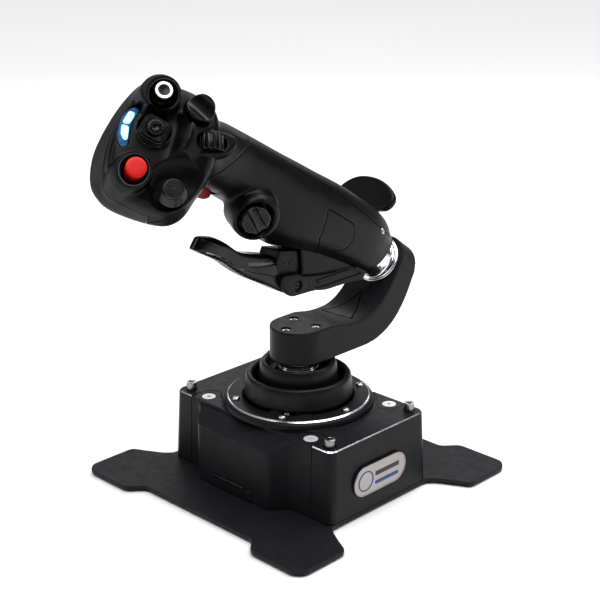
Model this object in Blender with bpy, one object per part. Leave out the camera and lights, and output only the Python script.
"""Flight joystick: a desk-mounted two-axis gimbal base, a cranked offset arm and a right-hand combat grip.

World frame, metres: +Z up, origin on the desk under the gimbal's vertical axis, +Y the way the grip's
head points, +X to the user's right. The user sits on the -Y side, which is also where the arm reaches.
"""
import math

import bmesh
import bpy
from mathutils import Matrix, Vector

MM = 0.001
GAP = 0.3

# Desk plate and base box (millimetres)
MAT_T = 1.5
PLATE_T = 3.0
PLATE_TOP = MAT_T + PLATE_T
PLATE_HALF_X = 102.2
PLATE_HALF_Y = 103.3
PLATE_SHIFT_X = 3.3
NOTCH_Y = 92.7
NOTCH_X = 76.0
FOOT = PLATE_TOP + GAP
BOX_TOP = 54.6
BOX_HALF_X = 72.8
BOX_HALF_Y = 45.9
BOX_DRAFT = 1.8
BOX_WALL = 3.2
BOX_CORNER = 6.0
PANEL_SPLIT_X = 55.0
PANEL_T = 3.0
BUMP_HALF_X = 25.0
BUMP_SHIFT_X = 3.0
BUMP_REACH_Y = 59.7
BUMP_TOP = 45.3
CAP_SCREW_X = 64.9
CAP_SCREW_Y = 38.4
CAP_SCREW_TOP = 60.2
FLAT_SCREW_X = 47.9
FLAT_SCREW_Y = 37.9
FLANGE_R = 50.0
FLANGE_BORE = 39.0
FLANGE_TOP = 60.2

# Gimbal
PIVOT_Z = 33.0
YOKE_OUT_X = 25.0
YOKE_OUT_Y = 21.0
YOKE_IN_X = 16.5
YOKE_IN_Y = 13.5
YOKE_T = 12.0
JOURNAL_R = 4.0
BEARING_R = 8.0
POST_Y = (25.0, 33.0)
AXLE_R = 3.0
SHAFT_R = 6.5

# Offset arm
ARM_W = 38.4
ARM_BOTTOM = 86.4
HUB_TOP = 109.0
HUB_SCREW_R = 11.75

# Grip: frame origin in the middle of the arm's upper face, z up the grip, y to its trigger side
GRIP_AT = (0.0, -77.7, 136.2)
GRIP_LEAN = math.radians(53.7)
GRIP_WALL = 3.0
FACE_DROP = 2.0
COLLAR_BORE = (13.9, -2.0, 22.0)
RIM_MIDDLE = 11.5
RIM_SLOPE = 0.3
SEAM_LINE = ((-90.0, 125.5), (100.0, 238.8))
SEAM_UP = (-0.51, 0.86)
CRATER_AT = (-20.5, 30.0, 148.5)
CRATER_AXIS = (-0.88, 0.42, 0.20)
SPINE_SCREW_AT = (-18.4, -12.9, 29.0)
SPINE_SCREW_AXIS = (-0.91, -0.41, 0.0)
LEVER_PIVOT = (0.0, 49.1, 76.8)
TRIGGER_PIVOT = (0.0, 20.0, 197.0)
PIN_R = 2.0
BRACKET_HALF = 12.0
SLOT_HALF = 8.6
GRIP_SECTIONS = (  # height, front edge y, back edge y, half width
    (4.0, 15.0, -17.0, 14.8),
    (12.0, 17.0, -21.0, 15.9),
    (20.0, 18.0, -24.5, 18.4),
    (30.0, 18.8, -26.0, 20.4),
    (45.0, 20.5, -26.0, 21.5),
    (75.0, 26.0, -24.0, 22.5),
    (100.0, 33.5, -21.0, 22.5),
    (118.0, 34.0, -19.0, 22.0),
    (147.0, 26.5, -15.8, 21.0),
    (168.0, 28.5, -13.5, 21.0),
    (190.0, 31.0, -11.0, 22.0),
)

# Head: frame origin in the middle of the thumb face, z out of the face, y towards the user
HEAD_AT = (-14.0, 17.0, 243.0)
HEAD_NORMAL = (-0.7325, -0.2001, 0.6507)
HEAD_UP = (0.2139, -0.9751, -0.0590)
FACE_N = -7.0
HEAD_SPLIT_N = -18.0
HEAD_BACK_N = -43.0
HEAD_FRONT = (
    (-12.0, 28.5), (-4.0, 31.0), (6.0, 32.0), (17.0, 31.5), (27.0, 28.5), (34.0, 20.0), (38.0, 2.0),
    (38.0, -14.0), (34.0, -27.0), (30.0, -36.0), (24.5, -42.0), (17.0, -44.5), (5.0, -44.5),
    (-5.0, -42.5), (-12.5, -38.0), (-17.0, -31.0), (-19.5, -22.0), (-20.5, -11.0), (-19.5, 4.0),
    (-16.0, 17.0),
)
HEAD_REAR = (
    (-13.5, 33.0), (-4.0, 34.0), (6.0, 34.0), (16.0, 33.0), (26.0, 30.0), (34.0, 20.0), (38.0, 2.0),
    (38.0, -14.0), (35.3, -25.0), (33.0, -35.0), (28.0, -42.5), (20.0, -46.2), (6.0, -47.6),
    (-8.5, -46.9), (-17.0, -43.0), (-22.5, -37.5), (-26.0, -27.0), (-27.0, -15.0), (-25.0, 2.0),
    (-20.5, 20.0),
)
HEAD_MIDDLE = (6.0, -7.0)
HEAD_LAYERS = (  # height, share of the rear outline, scale
    (HEAD_BACK_N, 1.0, 0.68), (-37.0, 1.0, 0.88), (-26.0, 1.0, 1.0), (-18.0, 0.6, 1.0), (-10.0, 0.0, 1.0),
    (FACE_N, 0.0, 0.92),
)
NECK_SECTIONS = (  # height, front edge y, back edge y, left edge x, right edge x (grip frame)
    (165.0, 27.0, -12.5, -20.5, 20.5),
    (190.0, 32.0, -10.0, -23.5, 20.5),
    (208.0, 36.0, -6.0, -29.0, 14.0),
    (222.0, 38.0, -2.0, -29.0, 5.0),
)
SHELL = 3.5
RING_AT = (-2.3, 22.2, -9.0)
RED_AT = (-2.3, -27.9, -9.0)
MINI_AT = (0.0, 0.0, -10.0)
LOWER_HAT_AT = (21.0, -31.7, -10.0)
UPPER_HAT_AT = (20.5, 20.1, -10.0)
WHEEL_AT = (33.0, 4.0, -7.0)
WHEEL_TURN = math.radians(17.0)
WHEEL_HALF = 4.6

COLORS = {
    "powder": ((0.022, 0.022, 0.025), 0.55, 0.0),
    "plastic": ((0.016, 0.016, 0.018), 0.50, 0.0),
    "gloss": ((0.012, 0.012, 0.013), 0.25, 0.0),
    "rubber": ((0.010, 0.010, 0.011), 0.80, 0.0),
    "chrome": ((0.80, 0.80, 0.82), 0.12, 1.0),
    "steel": ((0.35, 0.35, 0.37), 0.30, 1.0),
    "black_steel": ((0.04, 0.04, 0.045), 0.35, 1.0),
    "silver": ((0.62, 0.63, 0.66), 0.35, 1.0),
    "red": ((0.75, 0.02, 0.02), 0.40, 0.0),
    "white": ((0.90, 0.90, 0.95), 0.30, 0.0),
    "cyan": ((0.35, 0.85, 1.0), 0.30, 0.0),
    "board": ((0.02, 0.14, 0.06), 0.50, 0.0),
}


# ------------------------------------------------------------------ frames and materials
def clear_scene():
    for ob in list(bpy.data.objects):
        bpy.data.objects.remove(ob, do_unlink=True)


def material(slot):
    mat = bpy.data.materials.get(slot)
    if mat is None:
        color, rough, metal = COLORS[slot]
        mat = bpy.data.materials.new(slot)
        mat.use_nodes = True
        shader = mat.node_tree.nodes["Principled BSDF"]
        shader.inputs["Base Color"].default_value = (*color, 1.0)
        shader.inputs["Roughness"].default_value = rough
        shader.inputs["Metallic"].default_value = metal
    return mat


def empty(name, parent, at_mm, matrix=None):
    ob = bpy.data.objects.new(name, None)
    bpy.context.collection.objects.link(ob)
    ob.parent = parent
    ob.location = Vector(at_mm) * MM
    if matrix is not None:
        ob.rotation_euler = matrix.to_euler()
    return ob


def head_matrix():
    z = Vector(HEAD_NORMAL).normalized()
    x = Vector(HEAD_UP).cross(z).normalized()
    return Matrix((x, z.cross(x), z)).transposed()


# ------------------------------------------------------------------ solids (all lengths in mm)
def finish(name, bm, slot, parent=None, at=(0, 0, 0), smooth=35.0):
    """Turns a bmesh in the parent's millimetres into an object whose origin is at the point given."""
    bmesh.ops.recalc_face_normals(bm, faces=bm.faces)
    bmesh.ops.translate(bm, vec=-Vector(at), verts=bm.verts)
    bmesh.ops.scale(bm, vec=(MM, MM, MM), verts=bm.verts)
    mesh = bpy.data.meshes.new(name)
    bm.to_mesh(mesh)
    bm.free()
    mesh.shade_smooth()
    mesh.set_sharp_from_angle(angle=math.radians(smooth))
    mesh.materials.append(material(slot))
    ob = bpy.data.objects.new(name, mesh)
    bpy.context.collection.objects.link(ob)
    ob.parent = parent
    ob.location = Vector(at) * MM
    return ob


def loft_bm(rings):
    """A closed solid through rings of equal point counts, capped at both ends."""
    bm = bmesh.new()
    loops = [[bm.verts.new(p) for p in ring] for ring in rings]
    count = len(loops[0])
    for low, high in zip(loops, loops[1:]):
        for i in range(count):
            j = (i + 1) % count
            bm.faces.new((low[i], low[j], high[j], high[i]))
    bm.faces.new(list(reversed(loops[0])))
    bm.faces.new(loops[-1])
    return bm


def prism_bm(outline, low, high):
    return loft_bm([[(x, y, low) for x, y in outline], [(x, y, high) for x, y in outline]])


def turned_bm(profile, steps):
    """A profile of (radius, height) points, a closed loop off the axis, turned about z."""
    bm = bmesh.new()
    rings = []
    for radius, height in profile:
        ring = []
        for k in range(steps):
            turn = 2 * math.pi * k / steps
            ring.append(bm.verts.new((radius * math.cos(turn), radius * math.sin(turn), height)))
        rings.append(ring)
    for a, b in zip(rings, rings[1:] + rings[:1]):
        for i in range(steps):
            j = (i + 1) % steps
            bm.faces.new((a[i], a[j], b[j], b[i]))
    return bm


def rod_bm(profile, steps):
    """A solid of revolution on the axis: (radius, height) points from the bottom face to the top face."""
    return loft_bm([circle(radius, height, steps) for radius, height in profile])


def circle(radius, height, steps, squash=1.0):
    turns = [2 * math.pi * k / steps for k in range(steps)]
    return [(radius * math.cos(t), radius * squash * math.sin(t), height) for t in turns]


def box_bm(low, high):
    outline = [(low[0], low[1]), (high[0], low[1]), (high[0], high[1]), (low[0], high[1])]
    return prism_bm(outline, low[2], high[2])


def aimed(bm, at, direction):
    """Moves a bmesh built along z so that its z runs along the direction from the point given."""
    turn = Vector((0, 0, 1)).rotation_difference(Vector(direction)).to_matrix().to_4x4()
    bmesh.ops.transform(bm, matrix=Matrix.Translation(Vector(at)) @ turn, verts=bm.verts)
    return bm


def rounded_box(half_x, half_y, radius, steps=3, center=(0, 0)):
    points = []
    for sx, sy, start in ((1, 1, 0), (-1, 1, 90), (-1, -1, 180), (1, -1, 270)):
        for k in range(steps + 1):
            turn = math.radians(start + 90 * k / steps)
            x = sx * (half_x - radius) + radius * math.cos(turn)
            y = sy * (half_y - radius) + radius * math.sin(turn)
            points.append((center[0] + x, center[1] + y))
    return points


def stadium(half_length, radius, steps=6, center=(0, 0)):
    points = []
    for side, start in ((1, -90), (-1, 90)):
        for k in range(steps + 1):
            turn = math.radians(start + 180 * k / steps)
            x = side * (half_length - radius) + radius * math.cos(turn)
            points.append((center[0] + x, center[1] + radius * math.sin(turn)))
    return points


def smooth_through(rows, steps):
    """Catmull-Rom rows between the rows given, each a tuple of numbers."""
    out = []
    for i in range(len(rows) - 1):
        p0, p1, p2, p3 = rows[max(i - 1, 0)], rows[i], rows[i + 1], rows[min(i + 2, len(rows) - 1)]
        for k in range(steps):
            t = k / steps
            row = [0.5 * (2 * b + (c - a) * t + (2 * a - 5 * b + 4 * c - d) * t * t
                          + (3 * b - a - 3 * c + d) * t ** 3) for a, b, c, d in zip(p0, p1, p2, p3)]
            out.append(tuple(row))
    out.append(tuple(rows[-1]))
    return out


def hidden(ob):
    """Marks an object as a tool, which is no part of the joystick."""
    ob.hide_render = True
    ob.display_type = "WIRE"
    return ob


def combine(ob, operation, tool):
    mod = ob.modifiers.new(tool.name, "BOOLEAN")
    mod.operation = operation
    mod.object = tool


def cut(ob, bm, name):
    """Cuts away a solid built in the millimetres of the object's parent frame."""
    combine(ob, "DIFFERENCE", hidden(finish(name, bm, "steel", ob.parent)))


def join(ob, bm, name):
    combine(ob, "UNION", hidden(finish(name, bm, "steel", ob.parent)))


def intersect(ob, bm, name):
    """Leaves only what lies inside a solid built in the millimetres of the object's parent frame."""
    combine(ob, "INTERSECT", hidden(finish(name, bm, "steel", ob.parent)))


# ------------------------------------------------------------------ base
def plate_outline(inset=0.0):
    """One leg at each corner: shallow notches front and back, deep ones at the sides."""
    hx, hy = PLATE_HALF_X - inset, PLATE_HALF_Y - inset
    points = []
    for sx, sy in ((1, 1), (-1, 1), (-1, -1), (1, -1)):
        corner = [(NOTCH_X - inset, 45.0), (NOTCH_X + 4 - inset, 49.0), (hx - 3, 58.0), (hx, 62.0),
                  (hx, hy - 5), (hx - 5, hy), (60.0, hy), (57.0, hy - 2), (50.0, NOTCH_Y - inset),
                  (46.0, NOTCH_Y - inset)]
        corner = [(PLATE_SHIFT_X + sx * x, sy * y) for x, y in corner]
        points += corner if sx * sy > 0 else corner[::-1]
    return points


def box_ring(z, inset=0.0):
    grow = BOX_DRAFT * (BOX_TOP - z) / (BOX_TOP - PLATE_TOP) - inset
    outline = rounded_box(BOX_HALF_X + grow, BOX_HALF_Y + grow, max(BOX_CORNER - inset, 2.0))
    return [(x, y, z) for x, y in outline]


def beyond_bm(side, limit):
    """A block over everything past side * limit along x."""
    ends = sorted((side * limit, side * 130))
    return box_bm((ends[0], -90, -2), (ends[1], 90, BOX_TOP + 5))


def core_bm(inset):
    return loft_bm([box_ring(PLATE_TOP - 4, inset), box_ring(BOX_TOP + 4, inset)])


def build_base():
    finish("anti_slip_mat", prism_bm(plate_outline(2.0), 0.0, MAT_T - 0.1), "rubber")
    finish("desk_plate", prism_bm(plate_outline(), MAT_T + 0.1, PLATE_TOP), "powder")
    base = finish("base_casting", loft_bm([box_ring(FOOT), box_ring(BOX_TOP)]), "powder")
    bump = [(BUMP_SHIFT_X + x, y) for x, y in
            ((-50, 40), (-48, 46.5), (-38, 48), (-30, 55), (-BUMP_HALF_X, BUMP_REACH_Y),
             (BUMP_HALF_X, BUMP_REACH_Y), (30, 55), (38, 48), (48, 46.5), (50, 40))]
    back_y, back_z = bump[0][1], BOX_TOP - 2.0
    slope = (back_z - BUMP_TOP) / (BUMP_REACH_Y - back_y)
    rise = [(x, y, back_z - slope * (y - back_y)) for x, y in bump]
    join(base, loft_bm([[(x, y, FOOT) for x, y in bump], rise]), "bump_tool")
    inner = PANEL_T + BOX_WALL - 0.5
    cavity = loft_bm([box_ring(FOOT - 2, inner), box_ring(BOX_TOP - BOX_WALL, inner)])
    cut(base, cavity, "cavity_tool")
    cut(base, rod_bm([(35.0, BOX_TOP - 8), (35.0, BOX_TOP + 4)], 32), "boot_hole_tool")
    for side, name in ((-1, "end_panel_left"), (1, "end_panel_right")):
        panel = finish(name, loft_bm([box_ring(FOOT), box_ring(BOX_TOP - GAP)]), "powder")
        cut(panel, beyond_bm(-side, -(PANEL_SPLIT_X + GAP)), name + "_clip_tool")
        cut(panel, core_bm(PANEL_T), name + "_inner_tool")
        seat = hidden(finish(name + "_seat_tool", beyond_bm(side, PANEL_SPLIT_X), "steel"))
        combine(seat, "DIFFERENCE", hidden(finish(name + "_core_tool", core_bm(PANEL_T + GAP), "steel")))
        combine(base, "DIFFERENCE", seat)
    badge = prism_bm(stadium(25.0, 11.0), 0.0, 1.0)
    turn = Matrix.Rotation(math.radians(-90), 4, "Y") @ Matrix.Rotation(math.radians(90), 4, "Z")
    spot = (-(BOX_HALF_X + BOX_DRAFT * 0.6) - 1.4, -1.0, 26.0)
    bmesh.ops.transform(badge, matrix=Matrix.Translation(spot) @ turn, verts=badge.verts)
    finish("badge_plate", badge, "silver")
    front = BUMP_REACH_Y
    finish("port_cover", box_bm((-15.2, front - 0.6, FOOT + GAP), (25.2, front + 0.3, 12.6)), "plastic")
    cut(base, box_bm((-15.5, front - 0.9, FOOT - 2), (25.5, front + 3, 12.9)), "port_cover_seat_tool")
    flange = [(FLANGE_BORE, BOX_TOP + GAP), (FLANGE_R, BOX_TOP + GAP), (FLANGE_R, 57.0),
              (FLANGE_R - 2.3, FLANGE_TOP - 0.4), (FLANGE_R - 2.8, FLANGE_TOP), (FLANGE_BORE, FLANGE_TOP)]
    finish("boot_flange", turned_bm(flange, 40), "powder")
    number = 0
    for sx in (-1, 1):
        for sy in (-1, 1):
            number += 1
            spot = (sx * CAP_SCREW_X, sy * CAP_SCREW_Y, 0)
            screw_hole = rod_bm([(2.3, BOX_TOP - 9), (2.3, BOX_TOP + 2)], 12)
            cut(base, aimed(screw_hole, spot, (0, 0, 1)), f"cap_hole_{number}_tool")
            shank = [(2.0, 46.5), (2.0, BOX_TOP + GAP), (3.5, BOX_TOP + GAP), (3.5, CAP_SCREW_TOP - 0.5),
                     (3.1, CAP_SCREW_TOP), (1.6, CAP_SCREW_TOP), (1.6, CAP_SCREW_TOP - 2.5)]
            finish(f"cap_screw_{number}", aimed(rod_bm(shank, 12), spot, (0, 0, 1)), "black_steel")
            spot = (sx * FLAT_SCREW_X, sy * FLAT_SCREW_Y, 0)
            seat = rod_bm([(2.3, 45), (2.3, BOX_TOP - 3.0), (5.1, BOX_TOP), (5.1, BOX_TOP + 1)], 12)
            cut(base, aimed(seat, spot, (0, 0, 1)), f"flat_hole_{number}_tool")
            screw = [(2.0, 46.5), (2.0, BOX_TOP - 2.9), (4.65, BOX_TOP - 0.3), (1.6, BOX_TOP - 0.3),
                     (1.6, BOX_TOP - 2.0)]
            finish(f"flat_screw_{number}", aimed(rod_bm(screw, 12), spot, (0, 0, 1)), "steel")
    finish("circuit_board", box_bm((36, -32, 12), (60, 32, 13.6)), "board")
    finish("usb_socket", box_bm((-2, 48.5, 7.0), (8, 56.5, 11.0)), "steel")
    cut(base, box_bm((-3, 40, 6.4), (9, 64, 11.6)), "socket_hole_tool")


# ------------------------------------------------------------------ gimbal
def build_gimbal(pivot):
    frame = finish("gimbal_frame", box_bm((-20, -36, FOOT), (20, 36, 9.0)), "powder")
    for side in (-1, 1):
        y0, y1 = sorted((side * POST_Y[0], side * POST_Y[1]))
        post = [(-12.5, 8.0), (12.5, 8.0), (12.5, PIVOT_Z), (8.8, PIVOT_Z + 8.8), (0.0, PIVOT_Z + 12.5),
                (-8.8, PIVOT_Z + 8.8), (-12.5, PIVOT_Z)]
        join(frame, loft_bm([[(x, y, z) for x, z in post] for y in (y0, y1)]), f"post_{side}_tool")
        spot = (0, (y0 + y1) / 2, PIVOT_Z)
        seat = rod_bm([(BEARING_R + GAP, -6), (BEARING_R + GAP, 6)], 24)
        cut(frame, aimed(seat, spot, (0, 1, 0)), f"bearing_seat_{side}_tool")
        name = "bearing_rear" if side < 0 else "bearing_front"
        ring = [(JOURNAL_R + GAP, -3), (BEARING_R, -3), (BEARING_R, 3), (JOURNAL_R + GAP, 3)]
        finish(name, aimed(turned_bm(ring, 24), spot, (0, 1, 0)), "steel")
    ring = prism_bm(rounded_box(YOKE_OUT_X, YOKE_OUT_Y, 4), -YOKE_T / 2, YOKE_T / 2)
    yoke = finish("gimbal_yoke", ring, "silver", pivot)
    cut(yoke, prism_bm(rounded_box(YOKE_IN_X, YOKE_IN_Y, 2), -10, 10), "yoke_window_tool")
    for side in (-1, 1):
        journal = aimed(rod_bm([(JOURNAL_R, 0), (JOURNAL_R, 15)], 16), (0, side * 19.0, 0), (0, side, 0))
        join(yoke, journal, f"journal_{side}_tool")
    cut(yoke, axle_bore_bm(), "axle_bore_tool")
    axle = rod_bm([(AXLE_R, -24.5), (AXLE_R, 24.5)], 16)
    finish("pitch_axle", aimed(axle, (0, 0, 0), (1, 0, 0)), "steel", pivot)
    for side, name in ((-1, "roll_spring_left"), (1, "roll_spring_right")):
        finish(name, coil_bm((side * 15.0, 0.0), 9.6 - PIVOT_Z, -8.2), "steel", pivot)


def axle_bore_bm():
    bore = rod_bm([(AXLE_R + GAP, -30), (AXLE_R + GAP, 30)], 16)
    return aimed(bore, (0, 0, 0), (1, 0, 0))


def coil_bm(center, low, high, radius=3.2, wire=0.7, turns=4):
    """A compression spring's wire, swept as one tube."""
    steps = turns * 10
    rings = []
    for k in range(steps + 1):
        turn = 2 * math.pi * turns * k / steps
        height = low + wire + (high - low - 2 * wire) * k / steps
        out = Vector((math.cos(turn), math.sin(turn), 0))
        rings.append([Vector((center[0], center[1], height)) + out * (radius + wire * math.cos(a))
                      + Vector((0, 0, wire * math.sin(a))) for a in (2 * math.pi * i / 6 for i in range(6))])
    return loft_bm(rings)


# ------------------------------------------------------------------ boot, stick and arm
def build_stick(pivot):
    up = -PIVOT_Z
    block = finish("stick_shaft", box_bm((-12, -9, -8), (12, 9, 8)), "steel", pivot)
    join(block, rod_bm([(SHAFT_R, 4), (SHAFT_R, ARM_BOTTOM + up + 8)], 20), "shaft_tool")
    cut(block, axle_bore_bm(), "pivot_bore_tool")
    outer = [(26.5, 61.0), (38.6, 60.6), (38.2, 63.0), (37.4, 72.5), (35.6, 75.6), (32.6, 75.8),
             (30.6, 73.6), (29.2, 67.0), (26.6, 64.0)]
    finish("boot_outer", turned_bm([(r, z + up) for r, z in outer], 32), "rubber", pivot)
    inner = [(19.0, 64.5), (26.0, 64.5), (27.2, 68.0), (26.4, 80.0), (25.0, 84.0), (22.4, 84.4),
             (20.6, 82.4), (19.6, 76.0), (19.0, 70.0)]
    finish("boot_inner", turned_bm([(r, z + up) for r, z in inner], 32), "rubber", pivot)
    collar = [(SHAFT_R + GAP, 70.0), (18.0, 70.0), (18.0, 81.0), (16.8, 82.0), (16.8, ARM_BOTTOM - GAP),
              (SHAFT_R + GAP, ARM_BOTTOM - GAP)]
    finish("base_collar", turned_bm([(r, z + up) for r, z in collar], 32), "chrome", pivot)
    build_arm(pivot, up)


def arm_outline():
    """Side outline (y, z) of the arm, from the hub's back over the top, round the end and back below."""
    along, out = (math.cos(GRIP_LEAN), math.sin(GRIP_LEAN)), (math.sin(GRIP_LEAN), -math.cos(GRIP_LEAN))

    def on_face(far, deep):
        deep += FACE_DROP
        return (63.0 + far * along[0] + deep * out[0], 116.2 + far * along[1] + deep * out[1])

    upper = [(-19.2, 91.0), (-19.2, 107.5), (-17.8, HUB_TOP), (14.5, HUB_TOP), (19.5, 108.2), (27.0, 106.5),
             (36.0, 105.6), (47.0, 106.4), (55.0, 109.2), (61.5, 113.2), on_face(4.0, 0.0),
             on_face(44.0, 0.0), on_face(45.2, 2.0)]
    lower = [on_face(44.5, 14.5), on_face(42.0, 16.5), (86.5, 109.0), (76.5, 97.6), (66.0, 90.8),
             (55.0, 87.2), (45.0, ARM_BOTTOM), (-14.5, ARM_BOTTOM), (-18.0, 87.6)]
    return [(-reach, z) for reach, z in upper + lower]


def build_arm(pivot, up):
    """The side outline swept across the width, then cut to round ends seen from above and along the grip."""
    half = ARM_W / 2
    side = [(y, z + up) for y, z in arm_outline()]
    arm = finish("offset_arm", across_bm(side, half), "powder", pivot)
    intersect(arm, prism_bm(round_ended(half, 140.0), 40.0, 140.0), "arm_trim_tool")
    tip = prism_bm([(-x, -y) for x, y in round_ended(half, 180.0)], -90.0, 90.0)
    turn = Matrix.Translation(Vector(GRIP_AT) + Vector((0, 0, up))) @ Matrix.Rotation(-GRIP_LEAN, 4, "X")
    bmesh.ops.transform(tip, matrix=turn, verts=tip.verts)
    intersect(arm, tip, "arm_tip_tool")
    socket = rod_bm([(SHAFT_R + GAP, ARM_BOTTOM + up - 2), (SHAFT_R + GAP, ARM_BOTTOM + up + 8.5)], 20)
    cut(arm, socket, "socket_tool")
    for number, turn in enumerate((-30.0, 90.0, 210.0), 1):
        turn = math.radians(turn)
        spot = (HUB_SCREW_R * math.cos(turn), HUB_SCREW_R * math.sin(turn), up)
        well = rod_bm([(3.1, HUB_TOP - 6), (3.1, HUB_TOP + 2)], 14)
        cut(arm, aimed(well, spot, (0, 0, 1)), f"well_{number}_tool")
        screw = [(2.75, HUB_TOP - 5.6), (2.75, HUB_TOP - 1.4), (1.3, HUB_TOP - 1.4), (1.3, HUB_TOP - 3.6)]
        finish(f"arm_screw_{number}", aimed(rod_bm(screw, 12), spot, (0, 0, 1)), "steel", pivot)


def round_ended(half, length):
    """A half circle towards +y about the origin, its straight sides running away towards -y."""
    turns = [math.radians(15.0 * k) for k in range(13)]
    arc = [(half * math.cos(t), half * math.sin(t)) for t in turns]
    return arc + [(-half - 1, 0), (-half - 1, -length), (half + 1, -length), (half + 1, 0)]


# ------------------------------------------------------------------ grip
def grip_rings(inset=0.0, steps=2, points=28):
    rings = []
    for z, front, back, half in smooth_through(GRIP_SECTIONS, steps):
        middle, depth = (front + back) / 2, (front - back) / 2 - inset
        ring = []
        for k in range(points):
            turn = 2 * math.pi * (k + 0.5) / points
            c, s = math.cos(turn), math.sin(turn)
            x = (half - inset) * math.copysign(abs(c) ** 0.85, c)
            y = middle + depth * math.copysign(abs(s) ** 0.85, s)
            ring.append((x, y, z))
        rings.append(ring)
    return rings


def slab_bm(low_x, high_x):
    return box_bm((low_x, -90, -5), (high_x, 120, 260))


def across_bm(outline, half):
    """A (y, z) outline swept across the width of the grip."""
    return loft_bm([[(x, y, z) for y, z in outline] for x in (-half, half)])


def seam_bm(gap, above=True):
    """Everything above, or below, the slanted seam between the grip body and the head, moved up by a gap."""
    line = [(y + SEAM_UP[0] * gap, z + SEAM_UP[1] * gap) for y, z in SEAM_LINE]
    far = 340.0 if above else 0.0
    outline = line + [(SEAM_LINE[1][0], far), (SEAM_LINE[0][0], far)]
    return across_bm(outline if above else outline[::-1], 70.0)


def spine_bm(gap):
    """The region behind the spine cover's side edges."""
    edge = [(-12.5, 8.0), (-13.6, 40.0), (-14.8, 76.0), (-12.4, 120.0), (-10.8, 151.0), (-7.0, 200.0)]
    behind = [(-60.0, edge[-1][1]), (-60.0, edge[0][1])]
    return across_bm([(y + gap, z) for y, z in edge] + behind, 40.0)


def panel_bm(inset):
    """The access panel's outline on the left side, swept in from outside."""
    outline = [(-1.7 + inset, 92.6 - inset), (-3.5 + inset, 63.5 + inset), (4.0, 60.0 + inset),
               (11.0 - inset, 61.5 + inset), (22.7 - inset, 74.3), (14.0 - inset, 84.0 - inset)]
    return loft_bm([[(x, y, z) for y, z in outline] for x in (-40.0, -10.0)])


def collar_bore_bm():
    radius, low, high = COLLAR_BORE
    return rod_bm([(radius, low), (radius, high)], 24)


def hollow_bm():
    return loft_bm(grip_rings(GRIP_WALL, 1, 20)[2:])


def under_rim_bm():
    """Everything below the slanted rim at the bottom of the grip."""
    low, high = (RIM_MIDDLE + RIM_SLOPE * y for y in (-45.0, 45.0))
    return across_bm([(-45.0, -15.0), (45.0, -15.0), (45.0, high), (-45.0, low)], 40.0)


def spine_screw_well_bm():
    return aimed(rod_bm([(2.3, -5.0), (2.3, 4.0)], 12), SPINE_SCREW_AT, SPINE_SCREW_AXIS)


def build_grip(grip):
    seat = GAP - FACE_DROP
    nut = [(8.0, seat), (16.6, seat), (16.6, 0.6), (15.4, 1.4), (13.6, 2.0), (13.6, 18.0), (12.4, 19.0),
           (8.0, 19.0)]
    finish("grip_collar", turned_bm(nut, 32), "chrome", grip)
    for side, name in ((-1, "grip_body_left"), (1, "grip_body_right")):
        body = finish(name, loft_bm(grip_rings()), "plastic", grip)
        if side < 0:
            bump = [(15.0, -12.0), (15.0, 3.0), (13.6, 5.0)]
            join(body, aimed(rod_bm(bump, 20), CRATER_AT, CRATER_AXIS), "crater_tool")
        cut(body, spine_bm(GAP), name + "_spine_tool")
        cut(body, under_rim_bm(), name + "_rim_tool")
        cut(body, seam_bm(0.0), name + "_neck_tool")
        cut(body, collar_bore_bm(), name + "_collar_tool")
        cut(body, hollow_bm(), name + "_hollow_tool")
        cut(body, slab_bm(-0.15, 60) if side < 0 else slab_bm(-60, 0.15), name + "_half_tool")
        cut(body, box_bm((-9.5, 26, 60), (9.5, 70, 118)), name + "_lever_slot_tool")
        cut(body, box_bm((-9.5, 37.5, 117), (9.5, 70, 170)), name + "_lever_relief_tool")
        cut(body, box_bm((-7.0, 12, 168), (7.0, 60, 205)), name + "_trigger_slot_tool")
        if side < 0:
            well = [(10.6, -8.0), (10.6, 9.0)]
            cut(body, aimed(rod_bm(well, 20), CRATER_AT, CRATER_AXIS), "side_hat_well_tool")
            cut(body, spine_screw_well_bm(), "body_screw_well_tool")
            pocket = hidden(finish("panel_pocket_tool", panel_bm(0.0), "steel", grip))
            floor = hidden(finish("panel_floor_tool", loft_bm(grip_rings(1.8)), "steel", grip))
            combine(pocket, "DIFFERENCE", floor)
            combine(body, "DIFFERENCE", pocket)
    panel = finish("access_panel", panel_bm(0.4), "plastic", grip)
    intersect(panel, loft_bm(grip_rings()), "panel_skin_tool")
    cut(panel, loft_bm(grip_rings(1.5)), "panel_core_tool")
    spine = finish("spine_cover", loft_bm(grip_rings()), "plastic", grip)
    intersect(spine, spine_bm(0.0), "spine_keep_tool")
    cut(spine, seam_bm(0.0), "spine_neck_tool")
    cut(spine, hollow_bm(), "spine_hollow_tool")
    cut(spine, collar_bore_bm(), "spine_collar_tool")
    cut(spine, under_rim_bm(), "spine_rim_tool")
    cut(spine, spine_screw_well_bm(), "spine_screw_well_tool")


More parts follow.
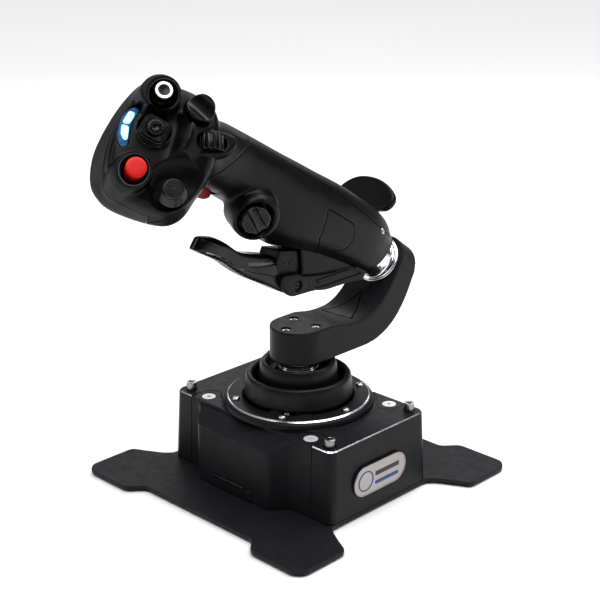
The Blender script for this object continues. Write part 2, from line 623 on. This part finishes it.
def build_lever(grip):
    """The brake lever, hinged between the two cheeks of the bracket under the grip."""
    bar = [(50.0, 93.5), (56.0, 88.0), (57.0, 80.0), (54.5, 74.0), (45.5, 60.5), (41.5, 50.3), (28.0, 31.5),
           (21.5, 20.5), (14.0, 21.0), (14.0, 88.0), (40.0, 84.0)]
    bracket = finish("lever_bracket", across_bm(bar, BRACKET_HALF), "plastic", grip)
    cut(bracket, loft_bm(grip_rings(-GAP)), "bracket_fit_tool")
    cut(bracket, box_bm((-SLOT_HALF, 15, 46), (SLOT_HALF, 80, 110)), "bracket_slot_tool")
    cut(bracket, lever_rod_bm(PIN_R + GAP, 20.0), "bracket_bore_tool")
    finish("lever_pin", lever_rod_bm(PIN_R, BRACKET_HALF), "black_steel", grip)
    top = [(61.5, 168.2), (57.0, 167.0), (53.1, 163.7), (49.8, 156.0), (49.3, 145.0), (49.8, 132.0),
           (48.8, 122.0), (45.2, 112.9), (39.5, 102.0), (37.0, 92.0), (38.0, 82.0), (42.0, 72.5),
           (49.1, 69.8)]
    under = [(55.0, 73.5), (56.3, 82.0), (57.4, 96.4), (59.6, 110.0), (60.5, 125.0), (60.2, 140.0),
             (62.0, 154.7), (63.4, 165.4)]
    lever = finish("brake_lever", across_bm(top + under, 7.8), "gloss", grip, LEVER_PIVOT)
    taper = [(-9.0, 60.0), (9.0, 60.0), (9.0, 100.0), (5.5, 140.0), (6.5, 160.0), (4.0, 169.5),
             (-4.0, 169.5), (-6.5, 160.0), (-5.5, 140.0), (-9.0, 100.0)]
    intersect(lever, loft_bm([[(x, y, z) for x, z in taper] for y in (20.0, 80.0)]), "lever_taper_tool")
    cut(lever, lever_rod_bm(PIN_R + GAP, 20.0), "lever_bore_tool")
    blade = [(22.0, 193.0), (32.0, 195.0), (35.0, 189.0), (36.0, 182.0), (35.5, 176.0), (32.5, 172.0),
             (30.0, 171.5), (28.0, 176.0), (25.0, 184.0), (16.5, 192.0), (16.5, 200.0), (23.0, 200.0)]
    finish("trigger", across_bm(blade, 6.2), "red", grip, TRIGGER_PIVOT)


def lever_rod_bm(radius, half):
    return aimed(rod_bm([(radius, -half), (radius, half)], 12), LEVER_PIVOT, (1, 0, 0))


def build_side_controls(grip):
    cap = [(8.2, -1.5), (8.2, 1.5), (7.6, 4.6), (6.2, 5.8), (3.0, 5.2)]
    finish("side_hat", aimed(rod_bm(cap, 20), CRATER_AT, CRATER_AXIS), "plastic", grip, CRATER_AT)
    screw = rod_bm([(1.9, -3.0), (1.9, 0.2), (1.0, 0.2), (1.0, -1.0)], 12)
    finish("spine_screw", aimed(screw, SPINE_SCREW_AT, SPINE_SCREW_AXIS), "silver", grip)
    shelf = [(-1.0, -38.0), (0.5, -44.0), (9.0, -50.0), (21.0, -53.5), (34.0, -53.0), (43.0, -49.0),
             (49.5, -41.0), (49.0, -30.0), (42.0, -22.0), (32.0, -12.0), (26.5, -4.0), (25.5, -10.0),
             (21.0, -21.5), (11.0, -30.0), (3.0, -32.5)]
    finish("hand_rest", prism_bm(shelf, 6.0, 12.0), "plastic", grip)


# ------------------------------------------------------------------ head
def head_ring(height, inset=0.0):
    """The head's outline at a height, between the two nearest layers."""
    for low, high in zip(HEAD_LAYERS, HEAD_LAYERS[1:]):
        if height <= high[0]:
            break
    t = (height - low[0]) / (high[0] - low[0])
    share, scale = (low[k] + (high[k] - low[k]) * t for k in (1, 2))
    scale *= 1.0 - inset / 30.0
    mu, mv = HEAD_MIDDLE
    ring = []
    for (u0, v0), (u1, v1) in zip(HEAD_FRONT, HEAD_REAR):
        u, v = u0 + (u1 - u0) * share, v0 + (v1 - v0) * share
        ring.append((mu + (u - mu) * scale, mv + (v - mv) * scale, height))
    return ring


def head_rings(heights, inset=0.0):
    return [head_ring(height, inset) for height in heights]


def neck_rings(inset=0.0):
    rings = []
    for z, front, back, left, right in smooth_through(NECK_SECTIONS, 2):
        mx, my = (left + right) / 2, (front + back) / 2
        hx, hy = (right - left) / 2 - inset, (front - back) / 2 - inset
        turns = [2 * math.pi * (k + 0.5) / 24 for k in range(24)]
        rings.append([(mx + hx * math.cos(t), my + hy * math.sin(t), z) for t in turns])
    return rings


def in_head(bm, grip_to_head):
    bmesh.ops.transform(bm, matrix=grip_to_head, verts=bm.verts)
    return bm


def hole(at, radius, steps=18, low=-16.0):
    return aimed(rod_bm([(radius, low), (radius, 12.0)], steps), (at[0], at[1], 0), (0, 0, 1))


def shroud_bm(at, foot, top):
    return aimed(rod_bm([foot, top], 24), (at[0], at[1], 0), (0, 0, 1))


def build_head(head, grip_to_head):
    layers = [layer[0] for layer in HEAD_LAYERS]
    front = finish("head_front", loft_bm(head_rings(layers)), "plastic", head)
    join(front, in_head(loft_bm(neck_rings()), grip_to_head), "neck_tool")
    join(front, shroud_bm((-2.9, 18.4), (12.2, -15.0), (11.2, 3.0)), "ring_shroud_tool")
    join(front, shroud_bm((-3.0, -29.0), (11.6, -16.0), (10.2, 0.0)), "red_shroud_tool")
    cut(front, box_bm((-80, -90, -90), (14, 90, HEAD_SPLIT_N)), "front_split_tool")
    cut(front, loft_bm(head_rings((HEAD_SPLIT_N - 4.0, FACE_N - 4.0), SHELL)), "front_hollow_tool")
    cut(front, in_head(seam_bm(GAP, above=False), grip_to_head), "front_seam_tool")
    cut(front, in_head(loft_bm(neck_rings(SHELL)[:-2]), grip_to_head), "front_neck_hollow_tool")
    for name, at, radius in (("ring", RING_AT, 6.6), ("red", RED_AT, 7.2), ("mini", MINI_AT, 5.0),
                             ("lower_hat", LOWER_HAT_AT, 4.6), ("upper_hat", UPPER_HAT_AT, 4.6)):
        cut(front, hole(at, radius), name + "_hole_tool")
    for name, at, radius in (("mini", MINI_AT, 12.4), ("lower_hat", LOWER_HAT_AT, 10.0),
                             ("upper_hat", UPPER_HAT_AT, 10.0)):
        cut(front, hole(at, radius, 20, FACE_N + 0.1), name + "_clearance_tool")
    well = box_bm((-8.5, -5.3, -13.0), (8.5, 5.3, 17.0))
    turn = Matrix.Translation(WHEEL_AT) @ Matrix.Rotation(WHEEL_TURN, 4, "Z")
    bmesh.ops.transform(well, matrix=turn, verts=well.verts)
    cut(front, well, "roller_hole_tool")
    rear = finish("head_rear", loft_bm(head_rings(layers)), "plastic", head)
    intersect(rear, box_bm((-80, -90, -90), (14 - GAP, 90, HEAD_SPLIT_N - GAP)), "rear_split_tool")
    hollow = head_rings((HEAD_BACK_N + 4.0, -35.0, -26.0, HEAD_SPLIT_N + 4.0), SHELL)
    cut(rear, loft_bm(hollow), "rear_hollow_tool")
    build_controls(head)


def on_axis(name, profile, steps, slot, head, at):
    """A round control whose profile heights are measured from the thumb face's zero plane."""
    return finish(name, aimed(rod_bm(profile, steps), (at[0], at[1], 0), (0, 0, 1)), slot, head, at)


def build_controls(head):
    core = [(5.9, -13.0), (5.9, -1.6), (3.0, -1.6), (3.0, 0.2)]
    on_axis("ring_button", core, 20, "plastic", head, RING_AT)
    ring = turned_bm([(3.3, -1.3), (4.9, -1.3), (4.9, 0.0), (3.3, 0.0)], 24)
    finish("light_ring", aimed(ring, (RING_AT[0], RING_AT[1], 0), (0, 0, 1)), "white", head, RING_AT)
    on_axis("red_button", [(6.0, -13.0), (6.0, 1.4), (5.6, 1.9)], 20, "red", head, RED_AT)
    tiers = [(rounded_box(8.6, 8.6, 2.5, 2), -4.8), (rounded_box(8.6, 8.6, 2.5, 2), -3.6),
             (rounded_box(6.0, 6.0, 2.2, 2), -1.6)]
    pad = loft_bm([[(x, y, n) for x, y in ring] for ring, n in tiers])
    mini = finish("mini_stick", pad, "gloss", head, MINI_AT)
    join(mini, rod_bm([(3.0, -12.0), (3.0, -4.0)], 12), "mini_stem_tool")
    join(mini, rod_bm([(4.2, -2.5), (4.2, 0.4), (2.6, 1.0)], 16), "mini_nub_tool")
    foot = [(2.6, -12.0), (2.6, -4.8), (8.0, -4.8)]
    on_axis("lower_hat", foot + [(8.0, -0.8), (6.0, 0.2)], 20, "plastic", head, LOWER_HAT_AT)
    on_axis("upper_hat", foot + [(8.2, -1.0), (7.6, 0.4), (4.0, -1.4)], 20, "plastic", head, UPPER_HAT_AT)
    wheel = []
    for k in range(36):
        radius = 7.4 if k % 3 else 6.6
        turn = 2 * math.pi * k / 36
        wheel.append((radius * math.cos(turn), radius * math.sin(turn)))
    axis = (-math.sin(WHEEL_TURN), math.cos(WHEEL_TURN), 0)
    roller = aimed(prism_bm(wheel, -WHEEL_HALF, WHEEL_HALF), WHEEL_AT, axis)
    finish("roller_wheel", roller, "gloss", head, WHEEL_AT)
    for end, outline in (("upper", ((-17.9, -2.4), (-14.2, -2.1), (-13.2, 5.4), (-16.5, 5.0))),
                         ("lower", ((-14.2, -11.0), (-11.9, -10.7), (-13.8, -3.0), (-17.8, -3.4)))):
        lens = prism_bm(outline, FACE_N + GAP, FACE_N + 2.0)
        finish("light_lens_" + end, lens, "cyan", head)


# ------------------------------------------------------------------ assembly
def main():
    clear_scene()
    build_base()
    pivot = empty("gimbal_pivot", None, (0, 0, PIVOT_Z))
    build_gimbal(pivot)
    build_stick(pivot)
    spot = Vector(GRIP_AT) - Vector((0, 0, PIVOT_Z))
    grip = empty("grip_frame", pivot, spot, Matrix.Rotation(-GRIP_LEAN, 3, "X"))
    build_grip(grip)
    build_lever(grip)
    build_side_controls(grip)
    head = empty("head_frame", grip, HEAD_AT, head_matrix())
    grip_to_head = (Matrix.Translation(Vector(HEAD_AT)) @ head_matrix().to_4x4()).inverted()
    build_head(head, grip_to_head)


main()
